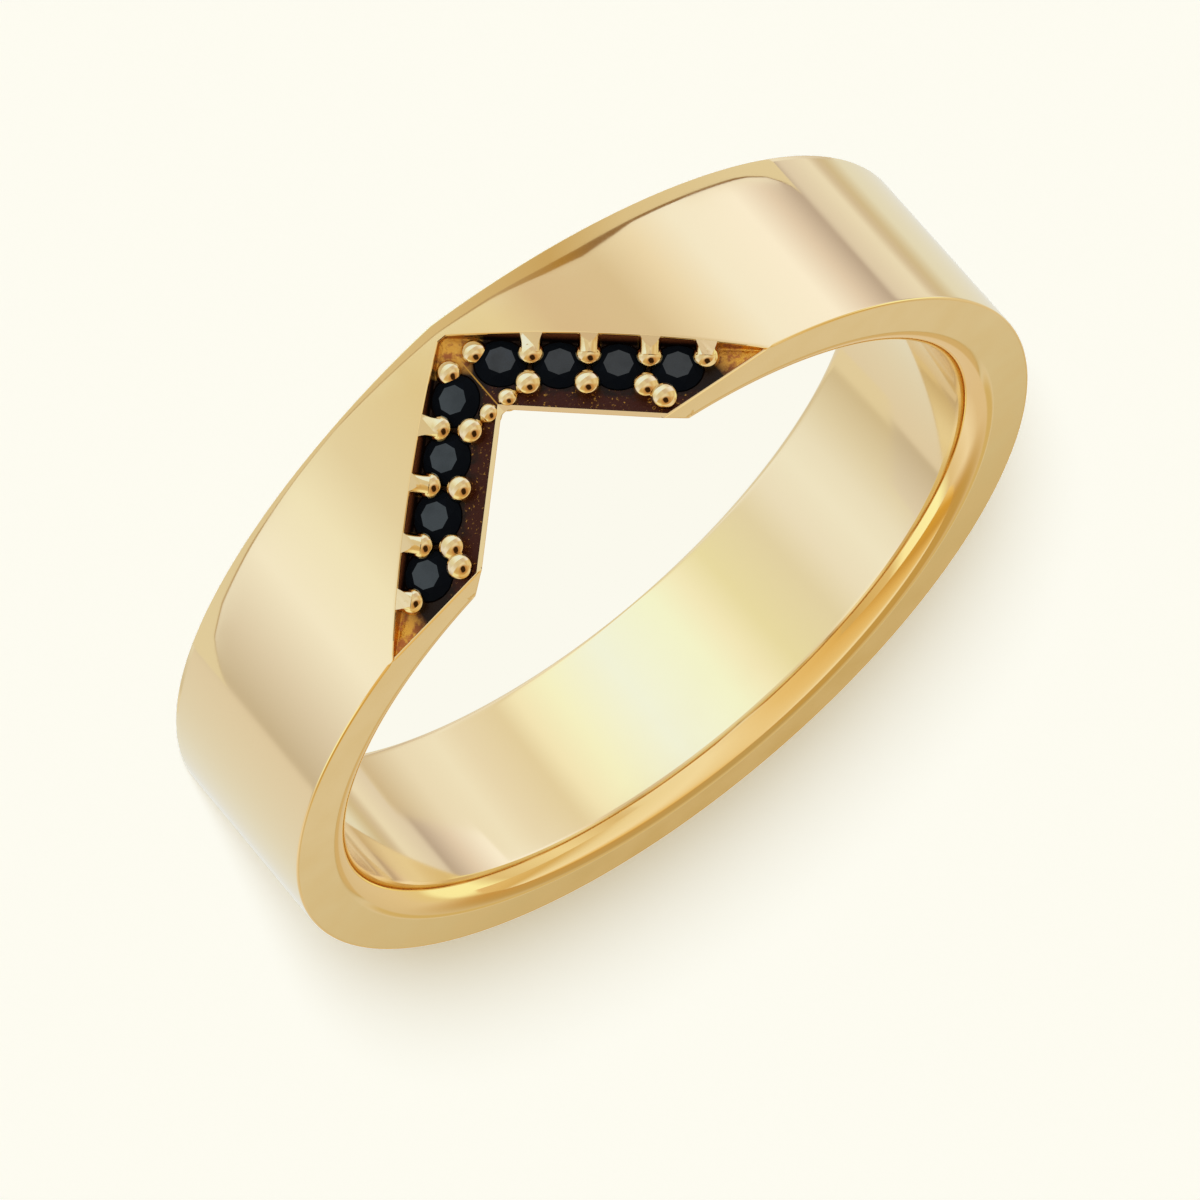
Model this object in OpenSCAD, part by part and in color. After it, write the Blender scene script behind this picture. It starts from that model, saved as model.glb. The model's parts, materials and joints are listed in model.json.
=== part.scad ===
// Flat-band ring with a V notch in one rim, framed by a sunk chevron of eight small black stones.
// Millimetres. +Z runs along the finger from the plain rim to the notched rim.
// The chevron faces -Y. The origin is on the bore axis at the lowest point of the plain rim.
// Each arm of the chevron is flat: its floor, stones and lip lie square to one direction.

/* [Band] */
// Inside diameter of the finger hole
bore_d = 17.2; // [14:0.1:23]
// Thickness of the band wall
band_t = 1.6; // [1.5:0.01:2.4]
// Width of the band from the plain rim to the notched rim
band_w = 4.55; // [4.45:0.05:6]
// How far the plain rim drops to a blunt point under the chevron
point_drop = 0.285; // [0.05:0.005:0.6]
// Rounding of the inside edge at the notched rim
comfort_r = 0.6; // [0.2:0.01:0.7]
// Rounding of the inside edge at the plain rim
plain_edge_r = 0.12; // [0.05:0.01:0.5]
// Small rounding of the two outside edges of the band
edge_r = 0.07; // [0.03:0.01:0.15]

/* [Arms of the chevron] */
// Direction each arm faces, turned from the front of the ring
arm_turn = 15.5; // [12:0.5:18]
// Depth of the recess floor below the outer face, at the middle of an arm
recess_depth = 0.46; // [0.36:0.01:0.55]
// Height of the lip above the recess floor
lip_h = 0.06; // [0.03:0.01:0.15]
// Width of the lip between the recess and the notch
lip_w = 0.14; // [0.1:0.01:0.3]
// Width of the thin lip between the recess and the notched rim
rim_lip_w = 0.07; // [0.05:0.01:0.2]
// Height of the recess point above the plane of the plain rim
recess_foot = 0.05; // [0.02:0.01:0.5]
// Slope of the recess outer wall, as rise over run
recess_slope = 0.83; // [0.76:0.01:0.92]
// How much of the recess point is cut off blunt
recess_blunt = 0.09; // [0.02:0.01:0.2]

/* [Notch] */
// Height of the notch point above the plane of the plain rim, at the lip
notch_foot = 2.29; // [2.1:0.01:2.8]
// Slope of the notch sides, as rise over run
notch_slope = 0.862; // [0.78:0.002:0.95]
// How steeply the notch is cut downwards and inwards
notch_tilt = 27; // [15:1:35]
// Rounding at the point of the notch
notch_r = 0.16; // [0.05:0.01:0.3]

/* [Stones] */
// Girdle diameter of each stone
stone_d = 1.12; // [0.9:0.01:1.18]
// Distance from one stone centre to the next along an arm
stone_pitch = 1.264; // [1.25:0.002:1.35]
// Slope of the stone rows, in degrees above the plain rim
row_angle = 39; // [37:0.1:41]
// Distance of the first stone of each arm from the fold between the arms
first_run = 0.665; // [0.65:0.005:0.75]
// Height of the first stone of each arm above the plane of the plain rim
first_rise = 1.345; // [1.25:0.005:1.5]
// Share of the girdle diameter taken by the table
table_share = 0.58; // [0.45:0.01:0.65]
// How far the girdle of each stone lies above the recess floor
stone_lift = 0; // [-0.1:0.01:0.05]
// Gap between a stone and the metal round it
stone_gap = 0.03; // [0.02:0.005:0.05]

/* [Beads] */
// Diameter of each bead that holds a stone
bead_d = 0.54; // [0.36:0.01:0.56]
// Diameter of the small bead beside the notch point
small_bead_d = 0.42; // [0.2:0.01:0.44]
// Distance of the outer beads from the line of the stones
outer_bead_off = 0.22; // [0.2:0.01:0.4]
// Distance of the inner beads from the line of the stones
inner_bead_off = 0.52; // [0.42:0.01:0.56]
// Height of the bead tops above the recess floor
bead_h = 0.39; // [0.3:0.01:0.5]
// Width of the bar that ties an outer bead to the recess wall
bar_w = 0.42; // [0.2:0.01:0.44]
// Length of that bar, from the middle of its bead into the wall
bar_l = 0.56; // [0.5:0.01:0.62]
// How far the top of that bar lies below the top of its bead
bar_drop = 0.07; // [0.02:0.01:0.15]

/* [Hidden] */
$fn = 96;
bore_r = bore_d / 2;
outer_r = bore_r + band_t;
floor_d = outer_r - recess_depth;
lip_d = floor_d + lip_h;
rim_z = point_drop;
top_z = rim_z + band_w;
stone_r = stone_d / 2;
table_r = stone_r * table_share;
crown_slope = tan(34.5);
crown_h = (stone_r - table_r) * crown_slope;
girdle_h = 0.07 * stone_r;
pavilion_h = stone_r * 0.86;
mid_r = (stone_r + table_r) / 2;
mid_h = crown_h - (mid_r * cos(22.5) - table_r) * crown_slope;
girdle_d = floor_d + stone_lift;
bead_r = bead_d / 2;
fold_u = -lip_d * tan(arm_turn);
wall_z = rim_z + recess_foot;
wall_u = -outer_r * sin(arm_turn);
far = 1.2 * outer_r;
sink = 0.5 * bead_h;
point_reach = 0.8 * outer_r;
gold = [0.86, 0.74, 0.52];
black = [0.05, 0.05, 0.06];

// Beads of one arm, a row for each: place along the row in stone pitches, distance off
// the row as a share of bead_off for its side, drop as a share of bead_h, bar or none.
OUTER_BEADS = [
  [-0.45, 1.15, 0.4, false],
  [0.51, 0.9, 0, true],
  [1.49, 1, 0, true],
  [2.52, 0.9, 0, true],
  [3.47, 1.1, 0.1, true]];
INNER_BEADS = [
  [0.49, 1.03, 0, false],
  [1.48, 0.95, 0, false],
  [2.48, 1, 0, false],
  [2.79, 1.46, 0, false]];
NOTCH_BEAD = [0.15, 1.6, 0.5, false];
function along(row) = row[0] * stone_pitch;
function off_share(row) = row[1];
function drop(row) = row[2] * bead_h;
function has_bar(row) = row[3];

// Frame of the right arm: X runs along the band, Y up the ring, Z straight out of the arm.
module arm_frame() {
  rotate([0, 0, arm_turn])
    rotate([90, 0, 0])
      children();
}

// Place on the stone row: along counts from the first stone, off counts towards the notch.
module on_row(along, off, out) {
  run = fold_u + first_run + along * cos(row_angle) - off * sin(row_angle);
  rise = rim_z + first_rise + along * sin(row_angle) + off * cos(row_angle);
  arm_frame()
    translate([run, rise, out])
      rotate([0, 0, row_angle])
        children();
}

// The same thing on both arms of the chevron.
module both_arms() {
  children();
  mirror([1, 0, 0])
    children();
}

// Corner left over when a quarter circle is taken out of a square.
module corner_waste(r) {
  difference() {
    translate([-1, -1])
      square([r + 1, r + 1]);
    translate([r, r])
      circle(r);
    translate([r, -1])
      square([1, r + 1]);
    translate([-1, r])
      square([r + 1, 1]);
  }
}

// Section of the band in the plane of radius and height.
module band_section() {
  difference() {
    translate([bore_r, rim_z])
      square([band_t, band_w]);
    translate([bore_r, rim_z])
      corner_waste(plain_edge_r);
    translate([bore_r, top_z])
      mirror([0, 1])
        corner_waste(comfort_r);
    translate([outer_r, rim_z])
      mirror([1, 0])
        corner_waste(edge_r);
    translate([outer_r, top_z])
      mirror([1, 0])
        mirror([0, 1])
          corner_waste(edge_r);
  }
}

// Blunt point of the plain rim, below the plane of that rim.
module rim_point() {
  steps = 8;
  above = rim_z + plain_edge_r;
  inside_r = bore_r + plain_edge_r;
  intersection() {
    rotate_extrude()
      polygon([
        [inside_r, above],
        [inside_r, rim_z],
        [inside_r + edge_r, 0],
        [outer_r, 0],
        [outer_r, above]]);
    rotate([90, 0, 0])
      linear_extrude(far)
        polygon(concat(
          [for (i = [-steps:steps])
            [i / steps * point_reach, rim_z * (1 - pow(1 - abs(i) / steps, 2))]],
          [[point_reach, above], [-point_reach, above]]));
  }
}

// Space in front of the right arm, from a distance outwards and up to a height.
module arm_space(from_d, up_to) {
  near_u = wall_u - recess_depth;
  far_u = wall_u + far;
  foot = wall_z + recess_blunt;
  intersection() {
    arm_frame()
      translate([0, 0, from_d])
        linear_extrude(far - from_d)
          polygon([
            [near_u, wall_z + (near_u - wall_u) * recess_slope],
            [far_u, wall_z + (far_u - wall_u) * recess_slope],
            [far_u, far + top_z],
            [near_u, far + top_z]]);
    translate([0, -far, foot])
      cube([far, far, up_to - foot]);
  }
}

// V of the notch, drawn square to the tilted cutting direction.
module notch_shape() {
  fold_y = -lip_d / cos(arm_turn);
  fold_z = rim_z + notch_foot;
  side_x = lip_d * sin(arm_turn);
  side_y = -lip_d * cos(arm_turn);
  side_z = fold_z - notch_slope * fold_u;
  foot = fold_y * sin(notch_tilt) + fold_z * cos(notch_tilt);
  side = side_y * sin(notch_tilt) + side_z * cos(notch_tilt);
  slope = (side - foot) / side_x;
  slant = sqrt(1 + slope * slope);
  touch = notch_r * slope / slant;
  difference() {
    polygon([[0, foot], [far, foot + far * slope], [-far, foot + far * slope]]);
    difference() {
      polygon([
        [0, foot],
        [touch, foot + touch * slope],
        [0, foot + notch_r * slant],
        [-touch, foot + touch * slope]]);
      translate([0, foot + notch_r * slant])
        circle(notch_r);
    }
  }
}

// V-shaped cutter that runs outwards and upwards through the front of the band.
module notch_cut() {
  rotate([90 - notch_tilt, 0, 0])
    linear_extrude(far + top_z)
      notch_shape();
}

// Space on the notch side of the lip, in front of the right arm.
module behind_lip() {
  near_u = fold_u - lip_d;
  far_u = fold_u + far;
  foot = rim_z + notch_foot - lip_w * sqrt(1 + notch_slope * notch_slope);
  arm_frame()
    translate([0, 0, bore_r])
      linear_extrude(far - bore_r)
        polygon([
          [near_u, foot + (near_u - fold_u) * notch_slope],
          [far_u, foot + (far_u - fold_u) * notch_slope],
          [far_u, far + top_z],
          [near_u, far + top_z]]);
}

// Metal taken away for the sunk chevron: a step down to the lip, then the floor behind it.
module recess() {
  both_arms()
    arm_space(lip_d, top_z + band_t);
  both_arms()
    difference() {
      arm_space(floor_d, top_z - rim_lip_w);
      behind_lip();
    }
}

// Room for one stone: cone for the pavilion, short wall at the girdle, cone over the crown.
module stone_room() {
  g = stone_gap;
  rotate_extrude()
    polygon([
      [0, -pavilion_h - girdle_h - 2 * g],
      [stone_r + g, -girdle_h - g],
      [stone_r + g, g],
      [table_r + g, crown_h + g],
      [0, crown_h + g]]);
}

// Bead on a round post that stands on the recess floor.
module bead(d, top) {
  middle = top - d / 2;
  translate([0, 0, middle])
    sphere(d = d);
  translate([0, 0, -sink])
    cylinder(d = d, h = middle + sink);
}

// Bar that runs back from an outer bead into the recess wall.
module bar() {
  translate([-bar_w / 2, -bar_l, -sink])
    cube([bar_w, bar_l, bead_h - bar_drop + sink]);
}

// Bars of one arm, kept just below the outer face.
module arm_bars() {
  intersection() {
    translate([0, 0, rim_z])
      cylinder(r = outer_r - edge_r / 4, h = band_w);
    for (row = OUTER_BEADS)
      if (has_bar(row))
        on_row(along(row), -off_share(row) * outer_bead_off, floor_d)
          bar();
  }
}

// Ten beads of one arm.
module arm_beads() {
  for (row = OUTER_BEADS)
    on_row(along(row), -off_share(row) * outer_bead_off, floor_d)
      bead(bead_d, bead_h - drop(row));
  for (row = INNER_BEADS)
    on_row(along(row), off_share(row) * inner_bead_off, floor_d)
      bead(bead_d, bead_h - drop(row));
  on_row(along(NOTCH_BEAD), off_share(NOTCH_BEAD) * inner_bead_off, floor_d)
    bead(small_bead_d, bead_h - drop(NOTCH_BEAD));
}

// Band in one piece: wall, point, recess, notch, beads and stone seats.
module band() {
  color(gold)
    difference() {
      union() {
        difference() {
          union() {
            rotate_extrude()
              band_section();
            rim_point();
          }
          recess();
        }
        both_arms() {
          arm_bars();
          arm_beads();
        }
      }
      notch_cut();
      both_arms()
        for (k = [0:3])
          on_row(k * stone_pitch, 0, girdle_d)
            stone_room();
    }
}

// Round cut: table, eight star, eight kite and sixteen girdle facets above, sixteen below.
module cut_stone() {
  points = concat(
    [for (i = [0:7]) [table_r * cos(45 * i), table_r * sin(45 * i), crown_h]],
    [for (i = [0:7]) [mid_r * cos(45 * i + 22.5), mid_r * sin(45 * i + 22.5), mid_h]],
    [for (j = [0:15]) [stone_r * cos(22.5 * j), stone_r * sin(22.5 * j), 0]],
    [for (j = [0:15]) [stone_r * cos(22.5 * j), stone_r * sin(22.5 * j), -girdle_h]],
    [[0, 0, -girdle_h - pavilion_h]]);
  faces = concat(
    [[for (i = [7:-1:0]) i]],
    [for (i = [0:7]) [i, (i + 1) % 8, 8 + i]],
    [for (i = [0:7]) [i, 8 + i, 16 + 2 * i, 8 + (i + 7) % 8]],
    [for (i = [0:7]) [8 + i, 17 + 2 * i, 16 + 2 * i]],
    [for (i = [0:7]) [8 + i, 16 + (2 * i + 2) % 16, 17 + 2 * i]],
    [for (j = [0:15]) [16 + j, 16 + (j + 1) % 16, 32 + (j + 1) % 16, 32 + j]],
    [for (j = [0:15]) [32 + j, 32 + (j + 1) % 16, 48]]);
  color(black)
    polyhedron(points, faces);
}

// Stone number k of the right arm, counted from the point of the chevron.
module arm_stone(k) {
  on_row((k - 1) * stone_pitch, 0, girdle_d)
    cut_stone();
}

module stone_right_1() { arm_stone(1); }
module stone_right_2() { arm_stone(2); }
module stone_right_3() { arm_stone(3); }
module stone_right_4() { arm_stone(4); }
module stone_left_1() { mirror([1, 0, 0]) arm_stone(1); }
module stone_left_2() { mirror([1, 0, 0]) arm_stone(2); }
module stone_left_3() { mirror([1, 0, 0]) arm_stone(3); }
module stone_left_4() { mirror([1, 0, 0]) arm_stone(4); }

band();
stone_right_1();
stone_right_2();
stone_right_3();
stone_right_4();
stone_left_1();
stone_left_2();
stone_left_3();
stone_left_4();
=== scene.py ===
"""Finish of a flat gold ring with a V notch and a sunk chevron of small black stones.

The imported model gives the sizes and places. The band is worked out anew as a fine
surface, and the stones keep their own solids and take a better finish.
"""

import json
import math
from functools import partial
from types import SimpleNamespace

import bmesh
import bpy
import numpy as np
from bpy.props import FloatProperty, FloatVectorProperty, PointerProperty
from mathutils import Matrix, Vector


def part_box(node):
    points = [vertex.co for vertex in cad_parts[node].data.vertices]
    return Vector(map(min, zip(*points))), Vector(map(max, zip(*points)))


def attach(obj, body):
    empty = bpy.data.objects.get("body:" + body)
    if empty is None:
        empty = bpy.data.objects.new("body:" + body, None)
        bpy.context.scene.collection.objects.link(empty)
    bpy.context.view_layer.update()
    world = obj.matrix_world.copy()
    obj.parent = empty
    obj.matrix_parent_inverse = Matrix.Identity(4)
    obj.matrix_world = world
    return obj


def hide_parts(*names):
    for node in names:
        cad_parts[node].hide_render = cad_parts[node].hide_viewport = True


bl_info = {
    "name": "Chevron ring finish",
    "version": (1, 0, 0),
    "blender": (4, 5, 0),
    "location": "View3D > Sidebar > Ring",
    "description": "Builds the polished band, its beads and the studio round a chevron ring",
    "category": "Object",
}

MM = 0.001
# Cut of the stones: slope of the crown, and heights as shares of the stone's radius.
CROWN_ANGLE = math.radians(34.5)
GIRDLE_SHARE = 0.07
PAVILION_SHARE = 0.86
# Samples across the flat rim, round the comfort edge and along a line of the section.
FLAT_STEPS, BEND_STEPS, LINE_STEPS = 80, 120, 60
SMOOTH = {"interpolation_type": "SMOOTHSTEP"}
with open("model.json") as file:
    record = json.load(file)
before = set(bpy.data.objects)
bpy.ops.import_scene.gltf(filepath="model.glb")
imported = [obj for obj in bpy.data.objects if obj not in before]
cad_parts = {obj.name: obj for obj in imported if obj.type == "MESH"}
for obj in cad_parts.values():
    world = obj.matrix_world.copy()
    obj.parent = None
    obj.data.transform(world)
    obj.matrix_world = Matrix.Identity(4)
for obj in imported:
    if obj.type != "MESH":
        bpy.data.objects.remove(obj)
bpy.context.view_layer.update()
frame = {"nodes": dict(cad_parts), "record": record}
mounts = {mount["name"]: mount for mount in frame["record"]["mounts"]}
band_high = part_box("band")[1]
stone_pitch = (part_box("stone_right_2")[0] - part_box("stone_right_1")[0]).length


def linear(hex_colour):
    """Linear red, green and blue of an sRGB hex colour."""
    parts = [int(hex_colour[i : i + 2], 16) / 255 for i in (1, 3, 5)]
    return [p / 12.92 if p <= 0.04045 else ((p + 0.055) / 1.055) ** 2.4 for p in parts]


def length(name, description, default):
    """A size in metres for the sidebar."""
    return FloatProperty(name=name, description=description, default=default, unit="LENGTH", precision=5)


def angle(name, description, degrees):
    """An angle for the sidebar, given in degrees."""
    return FloatProperty(name=name, description=description, default=math.radians(degrees), subtype="ANGLE")


def share(name, description, default):
    """A plain number for the sidebar."""
    return FloatProperty(name=name, description=description, default=default, min=0.0)


def colour(name, description, hex_colour):
    """A colour for the sidebar, given as sRGB hex."""
    return FloatVectorProperty(
        name=name, description=description, default=linear(hex_colour),
        subtype="COLOR", size=3, min=0.0, max=1.0)


class RING_PG_band(bpy.types.PropertyGroup):
    """Sizes of the band."""

    outer_r: length("Outer radius", "Radius of the outer face", band_high.x)
    bore_r: length("Bore radius", "Radius of the finger hole", mounts["finger_hole"]["dims"]["r_mm"] * MM)
    rim_z: length("Plain rim", "Height of the plain rim's plane", mounts["plain_rim"]["pos_m"][2])
    top_z: length("Notched rim", "Height of the notched rim", band_high.z)
    point_reach: share("Point reach", "Half length of the drooping rim, in outer radii", 0.8)
    comfort_r: length("Comfort edge", "Rounding of the inside edge at the notched rim", 0.6 * MM)
    plain_edge_r: length("Plain edge", "Rounding of the inside edge at the plain rim", 0.12 * MM)
    edge_r: length("Outside edges", "Rounding of the two outside edges", 0.05 * MM)
    cut_edge_r: length("Cut edges", "Rounding of the edges of the recess and the notch", 0.045 * MM)


class RING_PG_chevron(bpy.types.PropertyGroup):
    """Sizes of the sunk chevron and the notch."""

    arm_turn: angle("Arm turn", "Direction each arm faces, from the front of the ring", 15.5)
    recess_depth: length("Recess depth", "Depth of the floor below the outer face", 0.46 * MM)
    lip_h: length("Lip height", "Height of the lip above the floor", 0.06 * MM)
    lip_w: length("Lip width", "Width of the lip beside the notch", 0.14 * MM)
    rim_lip_w: length("Rim lip width", "Width of the lip below the notched rim", 0.07 * MM)
    recess_foot: length("Recess foot", "Height of the recess point above the plain rim", 0.05 * MM)
    recess_blunt: length("Recess blunt", "How much of the recess point is cut off", 0.09 * MM)
    recess_slope: share("Recess slope", "Rise over run of the recess outer wall", 0.83)
    notch_foot: length("Notch foot", "Height of the notch point above the plain rim", 2.29 * MM)
    notch_slope: share("Notch slope", "Rise over run of the notch sides", 0.862)
    notch_tilt: angle("Notch tilt", "How steeply the notch is cut downwards and inwards", 27.0)
    notch_r: length("Notch point", "Rounding at the point of the notch", 0.24 * MM)


class RING_PG_stones(bpy.types.PropertyGroup):
    """Sizes of the stones and of the beads that hold them."""

    stone_d: length("Stone diameter", "Girdle diameter of each stone", 1.12 * MM)
    table_share: share("Table", "Share of the girdle taken by the table", 0.58)
    pitch: length("Pitch", "Distance from stone to stone", stone_pitch)
    row_angle: angle("Row angle", "Slope of the stone rows", 39.0)
    first_run: length("First run", "Distance of the first stone from the fold", 0.665 * MM)
    first_rise: length("First rise", "Height of the first stone above the plain rim", 1.345 * MM)
    gap: length("Gap", "Gap between a stone and the metal", 0.03 * MM)
    bead_d: length("Bead", "Diameter of each bead", 0.6 * MM)
    bead_dome: share("Bead dome", "Height of a bead's dome, as a share of its radius", 0.76)
    small_bead_d: length("Small bead", "Diameter of the bead beside the notch point", 0.46 * MM)
    outer_off: length("Outer beads", "Distance of the outer beads from the stone line", 0.22 * MM)
    inner_off: length("Inner beads", "Distance of the inner beads from the stone line", 0.52 * MM)
    bead_h: length("Bead height", "Height of the bead tops above the floor", 0.38 * MM)
    bar_w: length("Neck width", "Width of the neck behind an outer bead", 0.56 * MM)
    bar_l: length("Neck length", "Length of the neck behind an outer bead", 0.56 * MM)
    neck_rise: angle("Neck rise", "How steeply the neck climbs to the outer face", 20.0)


class RING_PG_look(bpy.types.PropertyGroup):
    """Colours of the finishes and of the studio."""

    gold: colour("Gold", "Polished yellow gold", "#F3E0B4")
    # A little darker and greyer than the band's gold: painted shade on the beads.
    bead_gold: colour("Bead gold", "Burnished gold of the beads", "#E8D3A8")
    cast_gold: colour("Cast gold", "Unpolished gold in the recess", "#E0A94A")
    # The next three colours are painted shade in the recess: red-brown towards the lip, brown up the walls,
    # and near black between the stones.
    tarnish: colour("Tarnish", "Red-brown film in the recess", "#30110A")
    rust: colour("Rust", "Brown film on the walls below the outer face", "#94522C")
    soot: colour("Soot", "Blackened floor between the stones", "#140A07")
    stone: colour("Stone", "Body of the black stones", "#050608")
    table: colour("Studio floor", "Pale studio floor", "#FBF9ED")
    shade: colour("Studio shade", "Studio floor where the window does not reach", "#CDC0A2")


def sizes():
    """All driving sizes in metres and radians, with the values that follow from them."""
    scene = bpy.context.scene
    s = SimpleNamespace()
    for group in (scene.ring_band, scene.ring_chevron, scene.ring_stones):
        for key in group.__annotations__:
            setattr(s, key, getattr(group, key))
    s.floor_d = s.outer_r - s.recess_depth
    s.lip_d = s.floor_d + s.lip_h
    s.fold_u = -s.lip_d * math.tan(s.arm_turn)
    s.wall_u = -s.outer_r * math.sin(s.arm_turn)
    s.wall_z = s.rim_z + s.recess_foot
    s.lip_foot = s.rim_z + s.notch_foot - s.lip_w * math.hypot(1, s.notch_slope)
    s.stone_r = s.stone_d / 2
    s.table_r = s.stone_r * s.table_share
    s.crown_h = (s.stone_r - s.table_r) * math.tan(CROWN_ANGLE)
    s.girdle_h = GIRDLE_SHARE * s.stone_r
    s.pavilion_h = PAVILION_SHARE * s.stone_r
    return s


def new_object(name, points, faces, slots=0, materials=()):
    """Mesh object from a vertex array and a face array, with doubles merged and poles closed."""
    mesh = bpy.data.meshes.new(name)
    mesh.from_pydata(points.reshape(-1, 3).tolist(), [], faces.tolist())
    for material in materials:
        mesh.materials.append(material)
    slots = np.broadcast_to(slots, len(faces)) if np.ndim(slots) == 0 else np.ravel(slots)
    mesh.polygons.foreach_set("material_index", slots.astype(np.int32))
    work = bmesh.new()
    work.from_mesh(mesh)
    bmesh.ops.remove_doubles(work, verts=work.verts, dist=2e-7)
    bmesh.ops.dissolve_degenerate(work, dist=1e-7, edges=work.edges)
    bmesh.ops.recalc_face_normals(work, faces=work.faces)
    work.to_mesh(mesh)
    work.free()
    made = bpy.data.objects.new(name, mesh)
    bpy.context.scene.collection.objects.link(made)
    return made


def grid_faces(columns, rows, wrap_rows):
    """Quads of a grid whose columns close on themselves, and whose rows may too."""
    i = np.arange(columns)[:, None]
    j = np.arange(rows if wrap_rows else rows - 1)[None, :]
    i2 = (i + 1) % columns
    j2 = (j + 1) % rows
    return np.stack([i * rows + j, i2 * rows + j, i2 * rows + j2, i * rows + j2], -1).reshape(-1, 4)


def combine(target, tool, operation):
    """Joins tool to target, or cuts it away, and removes tool."""
    step = target.modifiers.new("combine", "BOOLEAN")
    step.operation = operation
    step.solver = "MANIFOLD"
    step.object = tool
    bpy.context.view_layer.update()
    done = target.evaluated_get(bpy.context.evaluated_depsgraph_get())
    mesh = bpy.data.meshes.new_from_object(done)
    if len(mesh.polygons) < len(target.data.polygons) // 2:
        raise RuntimeError(f"{operation} of {tool.name} failed")
    target.modifiers.clear()
    target.data = mesh
    bpy.data.objects.remove(tool)


def arm_u(s, r, turn):
    """Distance along an arm's plane, of a point at radius r and angle turn from the front."""
    return r * np.sin(turn - s.arm_turn)


def wall_height(s, r, turn):
    """Height of the recess outer wall: a straight slope, cut off blunt at the point."""
    slope = s.wall_z + (arm_u(s, r, turn) - s.wall_u) * s.recess_slope
    return np.maximum(slope, s.wall_z + s.recess_blunt)


def lip_line(s, r, turn):
    """Height at which the floor ends and the lip begins."""
    return s.lip_foot + (arm_u(s, r, turn) - s.fold_u) * s.notch_slope


def notch_height(s, r, turn):
    """Height of the notch wall: a V drawn square to the tilted cutting direction.

    In that direction's own plane the V is foot + slope * |x|, with an arc of radius
    notch_r at its point; the tilt turns it back into a height.
    """
    fold_y = -s.lip_d / math.cos(s.arm_turn)
    fold_z = s.rim_z + s.notch_foot
    side_x = s.lip_d * math.sin(s.arm_turn)
    side_y = -s.lip_d * math.cos(s.arm_turn)
    side_z = fold_z - s.notch_slope * s.fold_u
    tilt_sin, tilt_cos = math.sin(s.notch_tilt), math.cos(s.notch_tilt)
    foot = fold_y * tilt_sin + fold_z * tilt_cos
    slope = (side_y * tilt_sin + side_z * tilt_cos - foot) / side_x
    slant = math.hypot(1, slope)
    x = np.abs(r * np.sin(turn))
    y = -r * np.cos(turn)
    arc = foot + s.notch_r * slant - np.sqrt(np.maximum(s.notch_r**2 - x**2, 0))
    across = np.where(x < s.notch_r * slope / slant, arc, foot + slope * x)
    return np.where(turn < 1.2, (across - y * tilt_sin) / tilt_cos, 1.0)


def special_turns(s):
    """Angles from the front at which an edge of the chevron starts or ends."""
    u_rim_corner = s.fold_u + (s.top_z - s.rim_z - s.notch_foot) / s.notch_slope
    u_lip_corner = s.fold_u + (s.top_z - s.rim_lip_w - s.lip_foot) / s.notch_slope
    u_floor_tip = s.wall_u + (s.top_z - s.rim_lip_w - s.wall_z) / s.recess_slope
    u_tip = s.wall_u + (s.top_z - s.wall_z) / s.recess_slope
    u_blunt = s.wall_u + s.recess_blunt / s.recess_slope
    return SimpleNamespace(
        blunt=s.arm_turn + math.asin(u_blunt / s.outer_r),
        rim_corner=s.arm_turn + math.atan(u_rim_corner / s.lip_d),
        lip_corner=s.arm_turn + math.atan(u_lip_corner / s.floor_d),
        floor_tip=s.arm_turn + math.atan(u_floor_tip / s.floor_d),
        tip=s.arm_turn + math.asin(u_tip / s.outer_r),
    )


def band_turns(s):
    """Angles of the grid columns: fine across the chevron, coarser round the back."""
    at = special_turns(s)
    stops = [0.0, at.blunt, math.radians(1.4), at.rim_corner, at.lip_corner, at.floor_tip, at.tip,
             math.radians(34), math.pi]
    counts = [6, 6, 54, 5, 60, 4, 14, 236]
    spans = zip(stops, stops[1:], counts)
    half = np.concatenate([np.linspace(a, b, n, endpoint=False) for a, b, n in spans])
    return np.concatenate([half, [math.pi], -half[:0:-1]])


def at_share(line, t):
    """Points at shares t along polylines given as evenly shared points."""
    last = line.shape[1] - 1
    place = np.clip(t, 0, 1) * last
    low = np.minimum(place.astype(int), last - 1)
    part = (place - low)[..., None]
    rows = np.arange(line.shape[0])[:, None]
    return line[rows, low] * (1 - part) + line[rows, low + 1] * part


def straight(start, end, count=2):
    """Evenly shared points from start to end, for every column."""
    t = np.linspace(0, 1, count)[None, :, None]
    return start[:, None, :] * (1 - t) + end[:, None, :] * t


def rounded_section(pieces, roundings, counts):
    """One closed section per column: the pieces in turn, with their corners rounded.

    Each corner is a quadratic curve from a rounding's length before the corner to the
    same length after it, never more than 0.45 of either piece.
    """
    lengths = [np.linalg.norm(np.diff(p, axis=1), axis=2).sum(1) for p in pieces]
    cut = []
    for i, rounding in enumerate(roundings):
        before, after = lengths[i - 1], lengths[i]
        cut.append(np.minimum(rounding, 0.45 * np.minimum(before, after)))
    out = []
    for i, piece in enumerate(pieces):
        n = (i + 1) % len(pieces)
        size = np.maximum(lengths[i], 1e-12)
        start = cut[i] / size
        end = 1 - cut[n] / size
        inside = np.linspace(0, 1, counts[i])
        hold = np.array([0.0, 0.02, 0.98, 1.0])
        share_list = np.sort(np.concatenate([inside[1:-1], hold]))[None, :]
        out.append(at_share(piece, start[:, None] + (end - start)[:, None] * share_list))
        corner = pieces[n][:, 0][:, None, :]
        a = at_share(piece, end[:, None])
        b = at_share(pieces[n], (cut[n] / np.maximum(lengths[n], 1e-12))[:, None])
        t = np.array([0.25, 0.5, 0.75])[None, :, None]
        out.append(a * (1 - t) ** 2 + corner * 2 * t * (1 - t) + b * t**2)
    return out


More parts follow.
